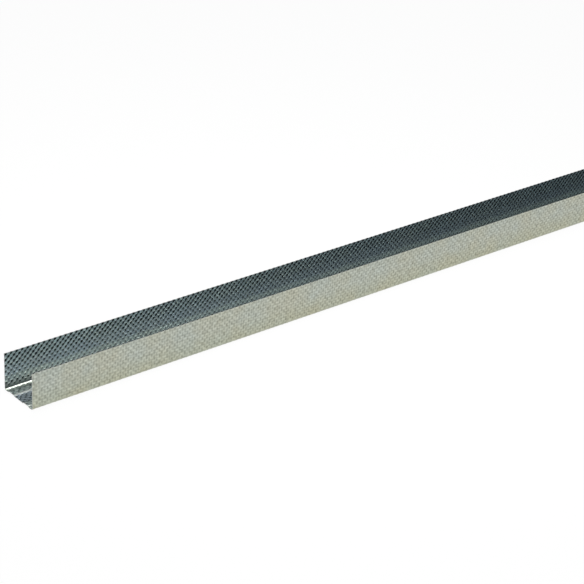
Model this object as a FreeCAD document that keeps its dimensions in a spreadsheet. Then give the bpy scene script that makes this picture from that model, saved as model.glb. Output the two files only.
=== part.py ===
# Drywall floor track: a U channel, roll-formed from one strip of galvanised sheet.
# The track lies on its web with the channel open upwards: X runs along its length,
# Y across the web and Z up, with the origin in the middle of the web's underside.

import FreeCAD, Part
import math
import os
import Sketcher

NODE = "floor_track"

# Driving dimensions, in millimetres and degrees.
SIZES = (
    ("track_length", 3000.0, "stock length of the track"),
    ("web_width", 50.0, "width over the outsides of the flanges"),
    ("flange_height", 40.0, "height of the flange edges above the floor"),
    ("sheet_gauge", 0.6, "thickness of the sheet"),
    ("corner_radius", 2.0, "inside radius of the bends between web and flanges"),
    ("rib_inset", 12.0, "outside of a flange to the middle of the web rib beside it"),
    ("rib_flat", 8.0, "width of the flat top of a rib"),
    ("rib_rise", 1.0, "height of a rib above the web"),
    ("riser_angle", 45.0, "slope of the sides of a rib"),
    ("crease_radius", 0.5, "inside radius of the bends along a rib"),
)

FLAT = 0.0
UPRIGHT = math.pi / 2
START = 1
END = 2
CENTRE = 3
SKETCH_ORIGIN = (-1, 1)


def make_sheet(doc):
    """Put the driving dimensions in a spreadsheet, one named row each."""
    sheet = doc.addObject("Spreadsheet::Sheet", "sizes")
    for row, (alias, value, meaning) in enumerate(SIZES, start=1):
        sheet.set(f"A{row}", meaning)
        sheet.set(f"B{row}", str(value))
        sheet.setAlias(f"B{row}", alias)
    doc.recompute()
    return sheet


def origin_plane(body, role):
    """Find one of the body's own origin planes."""
    return next(plane for plane in body.Origin.OriginFeatures if plane.Role == role)


def half_section_bends(sheet):
    """List the bends of half the section, from the middle of the web to a flange.

    Each bend is its centre, its inside radius, and the headings of the sheet
    before and after it.  A bend that turns upwards has its centre above the sheet.
    """
    gauge = sheet.sheet_gauge
    crease = sheet.crease_radius
    slope = math.radians(sheet.riser_angle)
    both_radii = 2 * crease + gauge
    straight = (sheet.rib_rise - both_radii * (1 - math.cos(slope))) / math.sin(slope)
    riser_run = both_radii * math.sin(slope) + straight * math.cos(slope)

    rib_middle = sheet.web_width / 2 - sheet.rib_inset
    rib_near = rib_middle - sheet.rib_flat / 2
    rib_far = rib_middle + sheet.rib_flat / 2
    foot_height = gauge + crease
    brow_height = sheet.rib_rise - crease
    corner = gauge + sheet.corner_radius
    return (
        (rib_near - riser_run, foot_height, crease, FLAT, slope),
        (rib_near, brow_height, crease, slope, FLAT),
        (rib_far, brow_height, crease, FLAT, -slope),
        (rib_far + riser_run, foot_height, crease, -slope, FLAT),
        (sheet.web_width / 2 - corner, corner, sheet.corner_radius, FLAT, UPRIGHT),
    )


def bend_arc(bend, upper, gauge):
    """Draw one face of a bend as an arc, with its ends in the order of travel."""
    across, height, inside_radius, before, after = bend
    turns_up = after > before
    radius = inside_radius if turns_up == upper else inside_radius + gauge
    side = -1 if turns_up else 1
    centre = FreeCAD.Vector(across, height, 0)

    def point(heading):
        return centre + side * radius * FreeCAD.Vector(-math.sin(heading), math.cos(heading), 0)

    middle = (before + after) / 2
    return point(before), point(after), Part.Arc(point(before), point(middle), point(after))


def draw_face(sketch, bends, upper, sheet):
    """Draw one face of the sheet as runs joined by arcs, tangent all the way.

    Returns the indices of the runs and of the arcs, both in order from the
    middle of the web to the edge of the flange.
    """
    gauge = sheet.sheet_gauge
    arcs = [bend_arc(bend, upper, gauge) for bend in bends]
    flange_face = arcs[-1][1].x
    stops = [FreeCAD.Vector(0, gauge if upper else 0, 0)]
    for first, last, _ in arcs:
        stops += [first, last]
    stops.append(FreeCAD.Vector(flange_face, sheet.flange_height, 0))

    runs = [sketch.addGeometry(Part.LineSegment(a, b), False) for a, b in zip(stops[::2], stops[1::2])]
    turns = [sketch.addGeometry(arc, False) for _, _, arc in arcs]
    for index, (turn, bend) in enumerate(zip(turns, bends)):
        turns_up = bend[4] > bend[3]
        entry, leave = (START, END) if turns_up else (END, START)
        sketch.addConstraint(Sketcher.Constraint("Tangent", runs[index], END, turn, entry))
        sketch.addConstraint(Sketcher.Constraint("Tangent", turn, leave, runs[index + 1], START))
    return runs, turns


def measure(sketch, name, expression, *constraint):
    """Add a dimension to the sketch and bind it to the spreadsheet."""
    index = sketch.addConstraint(Sketcher.Constraint(*constraint))
    sketch.renameConstraint(index, name)
    sketch.setExpression(f"Constraints.{name}", expression)


def draw_half_section(body, sheet):
    """Sketch half the section: two parallel faces, closed at the web's middle and the flange edge."""
    sketch = body.newObject("Sketcher::SketchObject", "half_section")
    sketch.AttachmentSupport = [(origin_plane(body, "YZ_Plane"), "")]
    sketch.MapMode = "FlatFace"

    bends = half_section_bends(sheet)
    under_runs, under_turns = draw_face(sketch, bends, False, sheet)
    upper_runs, upper_turns = draw_face(sketch, bends, True, sheet)

    def end_point(run, which):
        return sketch.getPoint(run, which)

    seam = sketch.addGeometry(
        Part.LineSegment(end_point(under_runs[0], START), end_point(upper_runs[0], START)), False)
    edge = sketch.addGeometry(
        Part.LineSegment(end_point(under_runs[-1], END), end_point(upper_runs[-1], END)), False)
    for cap, run, which in ((seam, 0, START), (edge, -1, END)):
        sketch.addConstraint(Sketcher.Constraint("Coincident", cap, START, under_runs[run], which))
        sketch.addConstraint(Sketcher.Constraint("Coincident", cap, END, upper_runs[run], which))
    sketch.addConstraint(Sketcher.Constraint("Coincident", seam, START, *SKETCH_ORIGIN))
    sketch.addConstraint(Sketcher.Constraint("Vertical", seam))
    sketch.addConstraint(Sketcher.Constraint("Horizontal", edge))

    centre_land, near_riser, rib_top, far_riser, edge_land, flange = under_runs
    for level in (centre_land, rib_top, edge_land, upper_runs[0]):
        sketch.addConstraint(Sketcher.Constraint("Horizontal", level))
    for upright in (flange, upper_runs[-1]):
        sketch.addConstraint(Sketcher.Constraint("Vertical", upright))

    for under, upper in zip(under_turns, upper_turns):
        sketch.addConstraint(Sketcher.Constraint("Coincident", under, CENTRE, upper, CENTRE))
    for index, (under, upper, bend) in enumerate(zip(under_turns, upper_turns, bends)):
        alias = "corner_radius" if bend is bends[-1] else "crease_radius"
        turns_up = bend[4] > bend[3]
        inside, outside = (upper, under) if turns_up else (under, upper)
        measure(sketch, f"inside_{index}", f"sizes.{alias}", "Radius", inside, bend[2])
        measure(sketch, f"outside_{index}", f"sizes.{alias} + sizes.sheet_gauge",
                "Radius", outside, bend[2] + sheet.sheet_gauge)

    slope = math.radians(sheet.riser_angle)
    rib_near = bends[1][0]
    half_web = sheet.web_width / 2
    measure(sketch, "near_slope", "sizes.riser_angle * 1 deg", "Angle", near_riser, slope)
    measure(sketch, "far_slope", "-sizes.riser_angle * 1 deg", "Angle", far_riser, -slope)
    measure(sketch, "rib_near", "sizes.web_width / 2 - sizes.rib_inset - sizes.rib_flat / 2",
            "DistanceX", *SKETCH_ORIGIN, under_turns[1], CENTRE, rib_near)
    measure(sketch, "rib_flat", "sizes.rib_flat",
            "DistanceX", under_turns[1], CENTRE, under_turns[2], CENTRE, sheet.rib_flat)
    measure(sketch, "rib_rise", "sizes.rib_rise",
            "DistanceY", *SKETCH_ORIGIN, rib_top, START, sheet.rib_rise)
    measure(sketch, "half_web", "sizes.web_width / 2",
            "DistanceX", *SKETCH_ORIGIN, flange, END, half_web)
    measure(sketch, "flange_height", "sizes.flange_height",
            "DistanceY", *SKETCH_ORIGIN, flange, END, sheet.flange_height)
    sketch.addConstraint(Sketcher.Constraint("PointOnObject", edge_land, END, -1))
    return sketch


def make_track(doc, sheet):
    """Pad the half section along the track and mirror it about the middle of the web."""
    track = doc.addObject("PartDesign::Body", NODE)
    track.Label = NODE
    section = draw_half_section(track, sheet)
    doc.recompute()

    half = track.newObject("PartDesign::Pad", "half_track")
    half.Profile = section
    half.SideType = "Symmetric"
    half.setExpression("Length", "sizes.track_length")

    whole = track.newObject("PartDesign::Mirrored", "whole_track")
    whole.Originals = [half]
    whole.MirrorPlane = (origin_plane(track, "XZ_Plane"), [""])
    whole.Refine = True
    track.Tip = whole
    track.Placement = FreeCAD.Placement()
    return track


def check(doc, pieces):
    """Stop before anything is written if an object failed or a solid isn't sound."""
    failed = [thing.Label for thing in doc.Objects if {"Invalid", "Error"} & set(thing.State)]
    failed += [piece.Label for piece in pieces if piece.Shape.isNull() or not piece.Shape.isValid()]
    if failed:
        raise RuntimeError("failed: " + ", ".join(failed))


def main():
    """Build the track and write its solid."""
    doc = FreeCAD.newDocument("floor_track_model")
    sheet = make_sheet(doc)
    pieces = [make_track(doc, sheet)]
    doc.recompute()
    check(doc, pieces)
    os.makedirs("parts", exist_ok=True)
    for piece in pieces:
        piece.Shape.exportStep(f"parts/{piece.Label}.step")
        print(piece.Label, piece.Shape.BoundBox, "volume", piece.Shape.Volume)


main()
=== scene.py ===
"""Visual model of a drywall floor track: a U channel of knurled galvanised sheet."""

import logging
import math
from dataclasses import dataclass, field
from enum import Enum

import bmesh
import bpy
from mathutils import Matrix, Vector


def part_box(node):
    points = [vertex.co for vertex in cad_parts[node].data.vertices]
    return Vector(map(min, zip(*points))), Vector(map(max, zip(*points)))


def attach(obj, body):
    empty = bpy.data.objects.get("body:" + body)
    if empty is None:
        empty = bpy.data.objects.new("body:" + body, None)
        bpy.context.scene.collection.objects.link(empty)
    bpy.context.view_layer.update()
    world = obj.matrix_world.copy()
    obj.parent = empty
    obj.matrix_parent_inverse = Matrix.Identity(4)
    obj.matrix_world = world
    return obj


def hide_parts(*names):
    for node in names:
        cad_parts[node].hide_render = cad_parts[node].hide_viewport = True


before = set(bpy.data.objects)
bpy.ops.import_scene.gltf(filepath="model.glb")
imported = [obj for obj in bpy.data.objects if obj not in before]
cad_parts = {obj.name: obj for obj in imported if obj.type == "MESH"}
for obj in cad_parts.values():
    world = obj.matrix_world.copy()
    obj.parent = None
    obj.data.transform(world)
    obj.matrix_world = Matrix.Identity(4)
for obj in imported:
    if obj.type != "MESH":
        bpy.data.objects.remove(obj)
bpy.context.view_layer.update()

LOG = logging.getLogger("floor_track")
NODE = "floor_track"
BODY = "root"
MM = 0.001

# The sheet's own UV map and vertex attributes, which its finishes read.
KNURL_MAP = "knurl_phase"
KNURL_SHARE = "knurl_share"
ACROSS = "across_strip"

Colour = tuple[float, float, float]
Point = tuple[float, float, float]
Span = tuple[float, float]
Socket = bpy.types.NodeSocket
WHITE: Colour = (1.0, 1.0, 1.0)
WHOLE: Span = (0.0, 1.0)


class Finish(Enum):
    """Material slots of a sheet piece."""

    OUTER_ZINC = 0
    CUT_EDGE = 1
    INNER_ZINC = 2


class NodeTree:
    """A short way to add shader nodes and join them."""

    def __init__(self, tree: bpy.types.NodeTree) -> None:
        """Start from an empty tree.

        Args:
            tree: The node tree of a material or a world.
        """
        self.tree = tree
        tree.nodes.clear()

    def add(self, kind: str, inputs: dict[str | int, object] | None = None,
            **settings: object) -> bpy.types.Node:
        """Add a node.

        Args:
            kind: The node's type name, without the leading ShaderNode.
            inputs: Values or output sockets for its inputs, by name or number.
            settings: Properties to set on the node itself.

        Returns:
            The new node.
        """
        node = self.tree.nodes.new("ShaderNode" + kind)
        for name, value in settings.items():
            setattr(node, name, value)
        for name, value in (inputs or {}).items():
            if isinstance(value, Socket):
                self.tree.links.new(value, node.inputs[name])
            else:
                node.inputs[name].default_value = value
        return node

    def math(self, operation: str, *values: float | Socket) -> Socket:
        """Add a sum.

        Args:
            operation: The name of the sum.
            values: Numbers or output sockets, in order.

        Returns:
            The sum's output.
        """
        return self.add("Math", dict(enumerate(values)), operation=operation).outputs["Value"]

    def rescaled(self, value: Socket, source: Span, target: Span) -> Socket:
        """Carry one range of values to another, held at both ends.

        Args:
            value: The socket to rescale.
            source: Two values that it takes.
            target: What those two become.

        Returns:
            The rescaled value.
        """
        node = self.add("MapRange", {
            "Value": value, "From Min": source[0], "From Max": source[1],
            "To Min": target[0], "To Max": target[1]})
        return node.outputs["Result"]

    def ramp(self, factor: Socket, stops: list[tuple[float, tuple[float, ...]]]) -> bpy.types.Node:
        """Add a colour ramp.

        Args:
            factor: The socket that drives the ramp.
            stops: Places along the ramp with their colours, with or without an alpha.

        Returns:
            The ramp.
        """
        node = self.add("ValToRGB", {"Fac": factor})
        elements = node.color_ramp.elements
        while len(elements) < len(stops):
            elements.new(1.0)
        for element, (place, colour) in zip(elements, stops):
            element.position = place
            element.color = (*colour, 1.0)[:4]
        return node

    def faded(self, factor: Socket, span: Span, first: Colour, last: Colour) -> Socket:
        """Fade from one colour to another.

        Args:
            factor: The socket that drives the fade.
            span: Where the fade starts and ends.
            first: The colour up to its start.
            last: The colour from its end on.

        Returns:
            The colour.
        """
        start, end = span
        return self.ramp(factor, [(start, first), (end, last)]).outputs["Color"]

    def tinted(self, colour: Socket, tint: Socket) -> Socket:
        """Multiply a colour by a tint.

        Args:
            colour: The colour.
            tint: The tint, a colour or a plain number.

        Returns:
            The tinted colour.
        """
        node = self.add("MixRGB", {"Fac": 1.0, "Color1": colour, "Color2": tint},
                        blend_type="MULTIPLY")
        return node.outputs["Color"]


def start_material(name: str) -> tuple[bpy.types.Material, NodeTree]:
    """Make a material with nothing in it yet.

    Args:
        name: The material's name.

    Returns:
        The material and its nodes.
    """
    material = bpy.data.materials.new(name)
    material.use_nodes = True
    return material, NodeTree(material.node_tree)


@dataclass(frozen=True)
class Grain:
    """A noise that keeps its place on the sheet: its fineness per metre, detail and roughness."""

    scale: float
    detail: float
    roughness: float = 0.5

    def add(self, nodes: NodeTree) -> Socket:
        """Add the noise to a material.

        Args:
            nodes: The material's nodes.

        Returns:
            The noise, about a middle of one half.
        """
        place = nodes.add("TexCoord").outputs["Object"]
        noise = nodes.add("TexNoise", {
            "Vector": place, "Scale": self.scale, "Detail": self.detail,
            "Roughness": self.roughness})
        return noise.outputs["Fac"]


@dataclass(frozen=True)
class Band:
    """A line along the sheet, with its tint, partly the coat's tone and partly painted light and
    shade, and the share of the knurl's painted light and shade that it has.

    Its place is its distance from the strip's middle line, measured across the flat strip.
    """

    across: float
    tint: Colour
    knurl_shade_strength: float = 1.0


@dataclass(frozen=True)
class ZincCoat:
    """Skin-passed zinc on one face of the sheet, with the knurl's light and shade painted into its
    colour.

    The knurl's painted light and shade, with a fine speckle, runs from the hollow's colour to the
    crest's.  Its strength says how strongly the knurl's two slants show; the painted light slant
    favours one of them, as a light from one side would; and the painted bump shade marks the
    bumps.
    The bands across the strip tint it, partly the coat's tone and partly painted light and shade,
    and the painted crease shade darkens the ribs' sides and creases.
    """

    name: str
    hollow: Colour
    crest: Colour
    warm: Colour
    cool: Colour
    bands: tuple[Band, ...]
    knurl_shade_strength: float
    speckle: float
    painted_light_slant: float = 0.0
    painted_bump_shade: float = 0.0
    painted_crease_shade: float = 1.0
    colour_span: Span = (0.2, 0.8)
    gloss_span: Span = (0.2, 0.8)
    bloom_span: Span = (0.35, 0.65)
    painted_crease_span: Span = (0.0, 0.3)
    bloom_grain: Grain = Grain(30.0, 3.0, 0.6)
    speckle_grain: Grain = Grain(240.0, 2.5, 0.8)
    half_strip: float = 64.2 * MM
    roughness_low: float = 0.28
    roughness_high: float = 0.33
    sharpness: float = 0.03 * MM

    def material(self) -> bpy.types.Material:
        """Build the zinc material.

        Returns:
            The material.
        """
        material, nodes = start_material(self.name)
        share = nodes.add("Attribute", attribute_name=KNURL_SHARE).outputs["Fac"]
        tone_and_light = self._tone_and_light_bands(nodes)
        knurl_shade_and_speckle = self._knurl_shade_and_speckle(nodes, share, tone_and_light.outputs["Alpha"])
        # The knurl's light and shade painted into the colour, from the hollow's colour to the
        # crest's.
        zinc = nodes.faded(knurl_shade_and_speckle, self.colour_span, self.hollow, self.crest)
        bloom = nodes.faded(self.bloom_grain.add(nodes), self.bloom_span, self.warm, self.cool)
        colour = nodes.tinted(zinc, bloom)
        # Tints of the bands across the strip: partly the coat's tone, partly painted light and
        # shade.
        colour = nodes.tinted(colour, tone_and_light.outputs["Color"])
        # Painted shade where the knurl is pressed flat, which darkens the ribs' sides and creases.
        colour = nodes.tinted(colour, nodes.rescaled(share, self.painted_crease_span, (self.painted_crease_shade, 1.0)))
        gloss = nodes.rescaled(knurl_shade_and_speckle, self.gloss_span, (self.roughness_high, self.roughness_low))
        knurl = nodes.add("Bump", {"Height": knurl_shade_and_speckle, "Strength": 1.0, "Distance": self.sharpness})
        shader = nodes.add("BsdfPrincipled", {
            "Base Color": colour, "Metallic": 1.0, "Roughness": gloss,
            "Normal": knurl.outputs["Normal"]})
        nodes.add("OutputMaterial", {"Surface": shader.outputs["BSDF"]})
        return material

    def _tone_and_light_bands(self, nodes: NodeTree) -> bpy.types.Node:
        """Add the bands across the strip, partly the coat's tone and partly painted light and
        shade, with the share of the knurl's painted light and shade as alpha.

        Args:
            nodes: The material's nodes.

        Returns:
            The ramp from the strip's middle to its edge.
        """
        across = nodes.add("Attribute", attribute_name=ACROSS).outputs["Fac"]
        stops = [(band.across / self.half_strip, (*band.tint, band.knurl_shade_strength)) for band in self.bands]
        return nodes.ramp(nodes.rescaled(across, (0.0, self.half_strip), WHOLE), stops)

    def _knurl_shade_and_speckle(self, nodes: NodeTree, share: Socket, shade_share: Socket) -> Socket:
        """Add the knurl's painted light and shade to a fine speckle.

        Args:
            nodes: The material's nodes.
            share: The share of the knurl that stands there.
            shade_share: The share of the knurl's painted light and shade in that band.

        Returns:
            The wear, about a middle of one half.
        """
        turns = nodes.add("UVMap", uv_map=KNURL_MAP).outputs["UV"]
        phase = nodes.add("SeparateXYZ", {"Vector": turns}).outputs
        falling = nodes.math("ADD", phase["X"], phase["Y"])
        rising = nodes.math("SUBTRACT", phase["X"], phase["Y"])
        # The knurl's two slants as painted light and shade, one favoured as by a light from one
        # side.
        falling_shade = self.knurl_shade_strength * (1 - self.painted_light_slant) / 2
        rising_shade = self.knurl_shade_strength * (1 + self.painted_light_slant) / 2
        fallen = nodes.math("MULTIPLY", nodes.math("SINE", falling), falling_shade)
        relief = nodes.math("MULTIPLY_ADD", nodes.math("SINE", rising), rising_shade, fallen)
        # The bumps' painted light and shade.
        bumps = nodes.math("MULTIPLY", nodes.math("COSINE", falling), nodes.math("COSINE", rising))
        knurl_shade = nodes.math("MULTIPLY_ADD", bumps, self.painted_bump_shade,
                           nodes.math("MULTIPLY", relief, shade_share))
        speckle = nodes.rescaled(self.speckle_grain.add(nodes), WHOLE,
                                 ((1 - self.speckle) / 2, (1 + self.speckle) / 2))
        return nodes.math("MULTIPLY_ADD", knurl_shade, share, speckle)


# The two faces are lit and shaded copies of one zinc. The outer face is the lit one: its warm tint
# is painted warm light, and its knurl carries weak painted light and shade.
OUTER_ZINC = ZincCoat(
    name="zinc_outer_face_painted_light",
    hollow=(0.30, 0.311, 0.262),
    crest=(0.572, 0.591, 0.507),
    warm=(1.0, 0.985, 0.94),
    cool=(0.96, 1.0, 1.04),
    bands=(
        # Painted warm reflection at the foot of the flange, a little yellower, and its plain upper
        # half.
        Band(28.0 * MM, (0.955, 0.945, 0.865)),
        Band(48.0 * MM, WHITE),
    ),
    knurl_shade_strength=0.156,
    speckle=1.3,
    painted_bump_shade=0.14,
)
# The inner face is the shaded copy: its near-black hollows and bright, cool crests are the knurl's
# painted shade and highlight.
INNER_ZINC = ZincCoat(
    name="zinc_inner_face_painted_shade",
    hollow=(0.05, 0.058, 0.062),
    crest=(0.89, 0.975, 1.0),
    warm=(1.0, 1.0, 0.98),
    cool=(0.98, 1.0, 1.02),
    bands=(
        # Painted shade on the middle of the web, then the lighter flat top of a rib.
        Band(7.3 * MM, (0.45, 0.45, 0.47), 0.6),
        Band(9.3 * MM, (0.66, 0.65, 0.59), 0.4),
        Band(17.4 * MM, (0.66, 0.65, 0.59), 0.4),
        # Painted highlight: a cream strip on the land beside the flange and the lower half of the
        # bend.
        Band(19.4 * MM, (0.75, 0.73, 0.66), 0.4),
        Band(22.0 * MM, (1.0, 0.98, 0.85), 0.4),
        Band(24.2 * MM, (0.74, 0.72, 0.61), 0.3),
        # Painted shade: a dark line on the upper half of the bend and the foot of the flange.
        Band(25.4 * MM, (0.38, 0.38, 0.36), 0.3),
        Band(27.3 * MM, (0.29, 0.29, 0.29), 0.3),
        Band(30.1 * MM, (0.50, 0.50, 0.49), 0.4),
        # Painted highlight: a bright row above it, with little of the knurl's painted light and
        # shade.
        Band(33.0 * MM, (0.82, 0.82, 0.81), 0.5),
        Band(34.4 * MM, (1.0, 1.0, 0.97), 0.2),
        Band(37.6 * MM, (1.0, 1.0, 0.97), 0.2),
        # Painted shade on the middle of the flange, a little darker and bluer, and its top
        # lighter, where the knurl's painted light and shade are strongest.
        Band(40.0 * MM, (0.84, 0.85, 0.89), 0.33),
        Band(47.0 * MM, (0.84, 0.85, 0.89), 0.33),
        Band(54.0 * MM, (0.98, 0.99, 1.0), 1.0),
    ),
    # Strong painted light and shade of the knurl, turned over on this face.
    knurl_shade_strength=-1.75,
    speckle=0.45,
    painted_light_slant=0.25,
    # Painted shade on the ribs' sides and creases, which dims their highlight.
    painted_crease_shade=0.2,
    colour_span=(0.0, 0.55),
    sharpness=0.025 * MM,
)


@dataclass(frozen=True)
class CutEdge:
    """Bare steel where the sheet was slit and sheared."""

    name: str = "sheared_steel_edge"
    dark: Colour = (0.36, 0.36, 0.36)
    pale: Colour = (0.52, 0.52, 0.51)
    grain: Grain = Grain(900.0, 2.0)
    grain_span: Span = (0.3, 0.7)
    roughness: float = 0.4

    def material(self) -> bpy.types.Material:
        """Build the cut edge material.

        Returns:
            The material.
        """
        material, nodes = start_material(self.name)
        steel = nodes.faded(self.grain.add(nodes), self.grain_span, self.dark, self.pale)
        shader = nodes.add("BsdfPrincipled", {
            "Base Color": steel, "Metallic": 1.0, "Roughness": self.roughness})
        nodes.add("OutputMaterial", {"Surface": shader.outputs["BSDF"]})
        return material


@dataclass
class Knurl:
    """Staggered bumps and dents rolled through the sheet.

    The shares say how much of the relief is left on the web, in the corner bends and in the
    creases of the ribs.
    """

    cells: int = 475
    length: float = 3.0
    depth: float = 0.42 * MM
    steps: int = 4
    web_share: float = 0.55
    corner_share: float = 0.3
    crease_share: float = 0.0

    @property
    def pitch(self) -> float:
        """Distance between bumps along a row."""
        return self.length / self.cells

    @property
    def step(self) -> float:
        """Mesh step that catches every crest, hollow and slope."""
        return self.pitch / self.steps

    def phase(self, along: float, across: float) -> tuple[float, float]:
        """Give a point of the flat strip in turns of the knurl.

        Args:
            along: Distance from the track's end.
            across: Distance from the strip's middle line.

        Returns:
            The angles along and across the strip, in radians.
        """
        turn = 2 * math.pi / self.pitch
        return turn * along, turn * across

    def height(self, along: float, across: float) -> float:
        """Give the full relief at a point of the flat strip.

        Args:
            along: Distance from the track's end.
            across: Distance from the strip's middle line.

        Returns:
            The height of the sheet's middle above the plain section.
        """
        turned, crossed = self.phase(along, across)
        return self.depth * math.sin(turned) * math.cos(crossed)


class SectionPen:
    """Draws the middle line of half the section as a chain of edges."""

    # Shortest edge of a straight run, as a share of the step.
    SHORTEST_EDGE = 0.4

    def __init__(self, mesh: bmesh.types.BMesh, start: Vector, step: float, share: float) -> None:
        """Put the pen down.

        Args:
            mesh: The mesh that takes the line.
            start: The first point, in the middle of the web.
            step: Spacing of the points on a straight run.
            share: Share of the knurl's full relief on the runs to come.
        """
        self.mesh = mesh
        self.across = mesh.verts.layers.float.new(ACROSS)
        self.relief = mesh.verts.layers.float.new(KNURL_SHARE)
        self.share = share
        self.tip = bmesh.ops.create_vert(mesh, co=start)["vert"][0]
        self.tip[self.relief] = share
        self.heading = Vector((0, 1, 0))
        self.step = step
        self.drawn = 0.0

    def _advance(self, length: float) -> None:
        """Extrude the tip along the heading.

        Args:
            length: Length of the new edge.
        """
        grown = bmesh.ops.extrude_vert_indiv(self.mesh, verts=[self.tip])
        self.tip = grown["verts"][0]
        bmesh.ops.translate(self.mesh, verts=[self.tip], vec=self.heading * length)
        self.drawn += length
        self.tip[self.across] = self.drawn
        self.tip[self.relief] = self.share

    def run(self, length: float) -> None:
        """Draw a straight run, with points on the knurl's own grid.

        Args:
            length: Length of the run.
        """
        end = self.drawn + length
        least = self.SHORTEST_EDGE * self.step
        nearest = math.floor(self.drawn / self.step) + 1
        while nearest * self.step < end - least:
            stop = nearest * self.step
            if stop - self.drawn > least:
                self._advance(stop - self.drawn)
            nearest += 1
        self._advance(end - self.drawn)

    def bend(self, radius: float, angle: float, steps: int, share: float) -> None:
        """Draw an arc.

        Args:
            radius: Radius of the sheet's middle line.
            angle: Turn in radians, positive upwards.
            steps: Number of edges.
            share: Share of the knurl that the bend leaves standing.
        """
        side = math.copysign(1.0, angle)
        normal = Matrix.Rotation(math.pi / 2, 3, "X") @ self.heading
        centre = self.tip.co + normal * (side * radius)
        start = self.drawn
        before = set(self.mesh.verts)
        bmesh.ops.spin(self.mesh, geom=[self.tip], cent=centre, axis=(1, 0, 0),
                       angle=angle, steps=steps, use_merge=False, use_duplicate=False)
        fresh = [vert for vert in self.mesh.verts if vert not in before]
        for index, vert in enumerate(fresh, start=1):
            vert[self.across] = start + abs(angle) * radius * index / steps
            vert[self.relief] = share
        self.tip = fresh[-1]
        self.drawn = start + abs(angle) * radius
        self.heading = Matrix.Rotation(angle, 3, "X") @ self.heading


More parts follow.
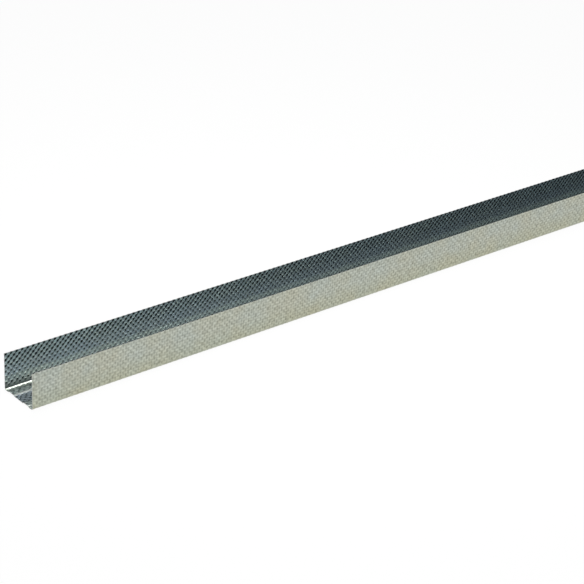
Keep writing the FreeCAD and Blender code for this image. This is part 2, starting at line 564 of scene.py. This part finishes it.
@dataclass
class FloorTrack:
    """The track: one knurled strip, bent to its section."""

    low: Vector
    high: Vector
    gauge: float = 0.6 * MM
    corner_radius: float = 2.0 * MM
    rib_inset: float = 12.0 * MM
    rib_flat: float = 8.0 * MM
    rib_rise: float = 1.0 * MM
    riser_angle: float = math.radians(45)
    crease_radius: float = 0.5 * MM
    corner_steps: int = 5
    crease_steps: int = 2
    lengths: int = 5
    seam_gap: float = 0.06 * MM
    weld_gap: float = 0.006 * MM
    knurl: Knurl = field(default_factory=Knurl)
    outer: ZincCoat = OUTER_ZINC
    inner: ZincCoat = INNER_ZINC
    cut: CutEdge = CutEdge()

    def build(self) -> list[bpy.types.Object]:
        """Make the lengths of sheet that stand for the track.

        Returns:
            The new objects.
        """
        strip = self.strip()
        finishes = {Finish.OUTER_ZINC: self.outer, Finish.CUT_EDGE: self.cut,
                    Finish.INNER_ZINC: self.inner}
        for slot in Finish:
            strip.materials.append(finishes[slot].material())
        pieces = [self._sheet_piece(strip, index) for index in range(self.lengths)]
        bpy.data.meshes.remove(strip)
        return pieces

    def _sheet_piece(self, strip: bpy.types.Mesh, index: int) -> bpy.types.Object:
        """Lay one length of the strip in its place and give it its gauge.

        Args:
            strip: The middle surface of a length, at the track's near end.
            index: Number of lengths between it and the near end.

        Returns:
            The new object.
        """
        reach = (self.high.x - self.low.x) / self.lengths
        data = strip.copy()
        data.transform(Matrix.Translation((index * reach, 0, 0)))
        piece = bpy.data.objects.new(f"track_sheet_{index + 1}", data)
        bpy.context.scene.collection.objects.link(piece)
        wall = piece.modifiers.new("sheet_gauge", "SOLIDIFY")
        wall.thickness = self.gauge
        wall.offset = 0.0
        wall.use_even_offset = True
        wall.use_rim = True
        wall.material_offset_rim = Finish.CUT_EDGE.value
        wall.material_offset = Finish.INNER_ZINC.value
        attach(piece, BODY)
        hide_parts(NODE)
        LOG.info("%s: %d faces before its gauge", piece.name, len(data.polygons))
        return piece

    def strip(self) -> bpy.types.Mesh:
        """Roll one length of the knurled strip, with its near end at the track's near end.

        Returns:
            The middle surface of the strip.
        """
        mesh = bmesh.new()
        self._draw_section(mesh)
        bmesh.ops.spin(mesh, geom=mesh.edges[:], cent=(0, 0, 0), axis=(1, 0, 0), angle=0.0,
                       dvec=(self.knurl.step, 0, 0), steps=self.knurl.steps,
                       use_merge=False, use_duplicate=False)
        bmesh.ops.recalc_face_normals(mesh, faces=mesh.faces[:])
        self._press_knurl(mesh)
        self._fill(mesh, self.knurl.cells // self.lengths)
        for edge in mesh.edges:
            edge.smooth = not edge.is_boundary
        for face in mesh.faces:
            face.smooth = True
        data = bpy.data.meshes.new("track_strip")
        mesh.to_mesh(data)
        mesh.free()
        return data

    def _draw_section(self, mesh: bmesh.types.BMesh) -> None:
        """Draw the middle line of the whole section at the near end.

        Args:
            mesh: The mesh that takes the line.
        """
        crease_middle = self.crease_radius + self.gauge / 2
        slope = self.riser_angle
        bends_rise = 2 * crease_middle * (1 - math.cos(slope))
        straight = (self.rib_rise - bends_rise) / math.sin(slope)
        riser_run = 2 * crease_middle * math.sin(slope) + straight * math.cos(slope)
        half_web = (self.high.y - self.low.y) / 2
        rib_near = half_web - self.rib_inset - self.rib_flat / 2
        corner = self.corner_radius + self.gauge
        corner_middle = self.corner_radius + self.gauge / 2
        edge_land = self.rib_inset - self.rib_flat / 2 - riser_run - corner
        flange = self.high.z - self.low.z - corner

        start = Vector((self.low.x, (self.low.y + self.high.y) / 2, self.low.z + self.gauge / 2))
        pen = SectionPen(mesh, start, self.knurl.step, self.knurl.web_share)
        pen.run(rib_near - riser_run)
        self._draw_riser(pen, crease_middle, slope, straight)
        pen.run(self.rib_flat)
        self._draw_riser(pen, crease_middle, -slope, straight)
        pen.run(edge_land)
        pen.bend(corner_middle, math.pi / 2, self.corner_steps, self.knurl.corner_share)
        pen.share = 1.0
        pen.run(flange)
        bmesh.ops.mirror(mesh, geom=mesh.verts[:] + mesh.edges[:], axis="Y",
                         merge_dist=self.seam_gap, matrix=Matrix.Translation(-start))

    def _draw_riser(self, pen: SectionPen, radius: float, slope: float, straight: float) -> None:
        """Draw one side of a rib: a bend, a short straight and a bend back.

        Args:
            pen: The pen, at the foot or the brow of the rib.
            radius: Radius of the bends' middle line.
            slope: Angle of the side in radians, positive upwards.
            straight: Length of the straight between the bends.
        """
        pen.share = self.knurl.crease_share
        pen.bend(radius, slope, self.crease_steps, pen.share)
        pen.run(straight)
        pen.bend(radius, -slope, self.crease_steps, pen.share)
        pen.share = self.knurl.web_share

    def _press_knurl(self, mesh: bmesh.types.BMesh) -> None:
        """Press the knurl into its first cell and map the cell by the knurl's phase.

        Args:
            mesh: The mesh that holds one plain cell.
        """
        mesh.normal_update()
        across = mesh.verts.layers.float[ACROSS]
        relief = mesh.verts.layers.float[KNURL_SHARE]
        moves = []
        for vert in mesh.verts:
            height = self.knurl.height(vert.co.x - self.low.x, vert[across])
            moves.append((vert, vert.normal * vert[relief] * height))
        for vert, move in moves:
            vert.co += move
        bmesh.ops.triangulate(mesh, faces=mesh.faces[:], quad_method="LONG_EDGE")
        phase = mesh.loops.layers.uv.new(KNURL_MAP)
        for face in mesh.faces:
            for loop in face.loops:
                vert = loop.vert
                loop[phase].uv = self.knurl.phase(vert.co.x - self.low.x, vert[across])

    def _fill(self, mesh: bmesh.types.BMesh, cells: int) -> None:
        """Copy the first cell of the knurl along the strip and join the copies.

        Args:
            mesh: The mesh that holds one cell.
            cells: Number of cells along the strip.
        """
        made = 1
        while made < cells:
            share = min(made, cells - made)
            limit = self.low.x + share * self.knurl.pitch
            source = [face for face in mesh.faces if face.calc_center_median().x < limit]
            copied = bmesh.ops.duplicate(mesh, geom=source)["geom"]
            fresh = [item for item in copied if isinstance(item, bmesh.types.BMVert)]
            bmesh.ops.translate(mesh, verts=fresh, vec=(made * self.knurl.pitch, 0, 0))
            made += share
        bmesh.ops.remove_doubles(mesh, verts=mesh.verts[:], dist=self.weld_gap)


@dataclass(frozen=True)
class Softbox:
    """A round soft lamp that hangs over the near end of the track."""

    place: Point = (0.34, -0.02, 0.9)
    aim: Point = (0.24, 0.0, 0.0)
    width: float = 0.9
    radiance: float = 6.8
    colour: Colour = (1.0, 0.99, 0.96)

    def build(self, near_end: Vector) -> None:
        """Hang the lamp.

        Args:
            near_end: Middle of the track's near end, on the floor.
        """
        lamp = bpy.data.lights.new("softbox", "AREA")
        lamp.shape = "DISK"
        lamp.size = self.width
        lamp.color = self.colour
        # A lamp's power is its radiance times pi times its area.
        disc_area = math.pi * (self.width / 2) ** 2
        lamp.energy = self.radiance * math.pi * disc_area
        holder = bpy.data.objects.new("softbox", lamp)
        holder.location = near_end + Vector(self.place)
        holder.rotation_mode = "QUATERNION"
        backwards = Vector(self.place) - Vector(self.aim)
        holder.rotation_quaternion = backwards.to_track_quat("Z", "Y")
        bpy.context.scene.collection.objects.link(holder)


@dataclass
class Studio:
    """White floor, even room and one softbox."""

    near_end: Vector
    floor_size: float = 120.0
    floor_drop: float = 0.45 * MM
    floor_colour: Colour = (0.85, 0.85, 0.85)
    floor_glow: float = 0.95
    room: Colour = (0.21, 0.238, 0.256)
    softbox: Softbox = Softbox()

    def build(self) -> None:
        """Make the floor, the room's light and the lamp."""
        self._lay_floor()
        self._light_room()
        self.softbox.build(self.near_end)

    def _lay_floor(self) -> None:
        """Lay the floor just under the lowest bumps of the knurl."""
        mesh = bmesh.new()
        bmesh.ops.create_grid(mesh, x_segments=1, y_segments=1, size=self.floor_size / 2)
        bmesh.ops.translate(mesh, verts=mesh.verts, vec=(0, 0, -self.floor_drop))
        data = bpy.data.meshes.new("studio_floor")
        mesh.to_mesh(data)
        mesh.free()
        floor = bpy.data.objects.new("studio_floor", data)
        bpy.context.scene.collection.objects.link(floor)
        data.materials.append(self._floor_material())

    def _light_room(self) -> None:
        """Light the room evenly from all sides."""
        world = bpy.data.worlds.new("studio_room")
        world.use_nodes = True
        nodes = NodeTree(world.node_tree)
        room = nodes.add("Background", {"Color": (*self.room, 1.0), "Strength": 1.0})
        nodes.add("OutputWorld", {"Surface": room.outputs["Background"]})
        bpy.context.scene.world = world

    def _floor_material(self) -> bpy.types.Material:
        """Build the floor's matt white, which looks white to the camera and in reflections.

        Returns:
            The material.
        """
        material, nodes = start_material("studio_white")
        matt = nodes.add("BsdfDiffuse", {"Color": (*self.floor_colour, 1.0)})
        glow = nodes.add("Emission", {"Color": (*WHITE, 1.0), "Strength": 1.0})
        path = nodes.add("LightPath").outputs
        seen = nodes.math("ADD", path["Is Camera Ray"], path["Is Glossy Ray"])
        seen = nodes.math("ADD", seen, path["Is Transmission Ray"])
        share = nodes.math("MULTIPLY", seen, self.floor_glow)
        mixed = nodes.add("MixShader", {
            0: share, 1: matt.outputs["BSDF"], 2: glow.outputs["Emission"]})
        nodes.add("OutputMaterial", {"Surface": mixed.outputs["Shader"]})
        return material


@dataclass
class PhotoCamera:
    """Camera at the photograph's viewing angle, aimed at a point beside the track."""

    near_end: Vector
    aim: Point = (231.3 * MM, -129.0 * MM, 105.4 * MM)
    azimuth: float = math.radians(-40.716)
    elevation: float = math.radians(26.741)
    roll: float = math.radians(2.917)
    distance: float = 1911.5 * MM
    lens: float = 121.53
    sensor: float = 36.0

    def build(self) -> bpy.types.Object:
        """Make the camera and give it to the scene.

        Returns:
            The camera object.
        """
        back = Vector((math.sin(self.azimuth) * math.cos(self.elevation),
                       -math.cos(self.azimuth) * math.cos(self.elevation),
                       math.sin(self.elevation)))
        right = Vector((math.cos(self.azimuth), math.sin(self.azimuth), 0))
        up = back.cross(right)
        turn = Matrix((right, up, back)).transposed().to_4x4() @ Matrix.Rotation(self.roll, 4, "Z")
        stand = self.near_end + Vector(self.aim) + back * self.distance
        data = bpy.data.cameras.new("photo_camera")
        data.lens = self.lens
        data.sensor_width = self.sensor
        camera = bpy.data.objects.new("photo_camera", data)
        camera.matrix_world = Matrix.Translation(stand) @ turn
        bpy.context.scene.collection.objects.link(camera)
        bpy.context.scene.camera = camera
        return camera


def main() -> None:
    """Build the track, the studio and the camera, and note the sizes."""
    logging.basicConfig(level=logging.INFO, format="%(name)s: %(message)s")
    low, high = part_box(NODE)
    track = FloorTrack(low=low, high=high)
    pieces = track.build()
    LOG.info("track made of %d lengths of sheet", len(pieces))
    near_end = Vector((low.x, (low.y + high.y) / 2, low.z))
    Studio(near_end).build()
    PhotoCamera(near_end).build()
    bpy.context.scene.view_settings.view_transform = "Standard"


if __name__ == "__main__":
    main()
